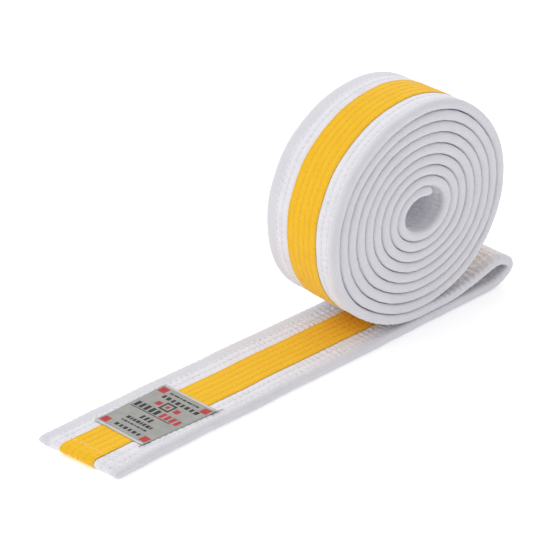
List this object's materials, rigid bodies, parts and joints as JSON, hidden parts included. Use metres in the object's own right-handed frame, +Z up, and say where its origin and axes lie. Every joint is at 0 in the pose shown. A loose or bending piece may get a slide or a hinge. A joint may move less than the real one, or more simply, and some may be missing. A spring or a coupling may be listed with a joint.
{
  "type": "martial arts belt",
  "caption": "Cotton martial arts belt, white with a lengthwise coloured ribbon, rolled up with its labelled free end lying flat under the roll.",
  "frame": {"origin": "on the floor, at the middle of the rolled belt's length and width", "axes": "+X along the strap's free end, from the tip towards the roll and the fold; +Y along the roll's axis, away from the side where its inner end winds anticlockwise; +Z up"},
  "size_m": [0.2566, 0.045, 0.1161],
  "materials": {
    "white_cotton": "matt cotton twill",
    "interlining": "matt felted cotton",
    "yellow_ribbon": "matt cotton twill with a faint sheen",
    "label_weave": "satin woven polyester",
    "dark_thread": "polyester thread",
    "yellow_thread": "polyester thread",
    "white_thread": "polyester thread"
  },
  "bodies": {
    "root": {"coloured_ribbon": "yellow_ribbon", "core_ply_back": "interlining", "core_ply_front": "interlining", "core_ply_middle": "interlining", "cotton_cover": "white_cotton", "inner_end_seam": "white_thread", "label_seam_roll_side": "white_thread", "label_seam_tip_side": "white_thread", "label_tack_roll_side": "dark_thread", "label_tack_tip_side": "dark_thread", "row_01_bobbin_thread": "white_thread", "row_01_needle_thread": "white_thread", "row_02_bobbin_thread": "white_thread", "row_02_needle_thread": "white_thread", "row_03_bobbin_thread": "white_thread", "row_03_needle_thread": "yellow_thread", "row_04_bobbin_thread": "white_thread", "row_04_needle_thread": "yellow_thread", "row_05_bobbin_thread": "white_thread", "row_05_needle_thread": "yellow_thread", "row_06_bobbin_thread": "white_thread", "row_06_needle_thread": "yellow_thread", "row_07_bobbin_thread": "white_thread", "row_07_needle_thread": "yellow_thread", "row_08_bobbin_thread": "white_thread", "row_08_needle_thread": "yellow_thread", "row_09_bobbin_thread": "white_thread", "row_09_needle_thread": "white_thread", "row_10_bobbin_thread": "white_thread", "row_10_needle_thread": "white_thread", "tip_seam": "white_thread", "woven_label": "label_weave"}
  },
  "joints": []
}
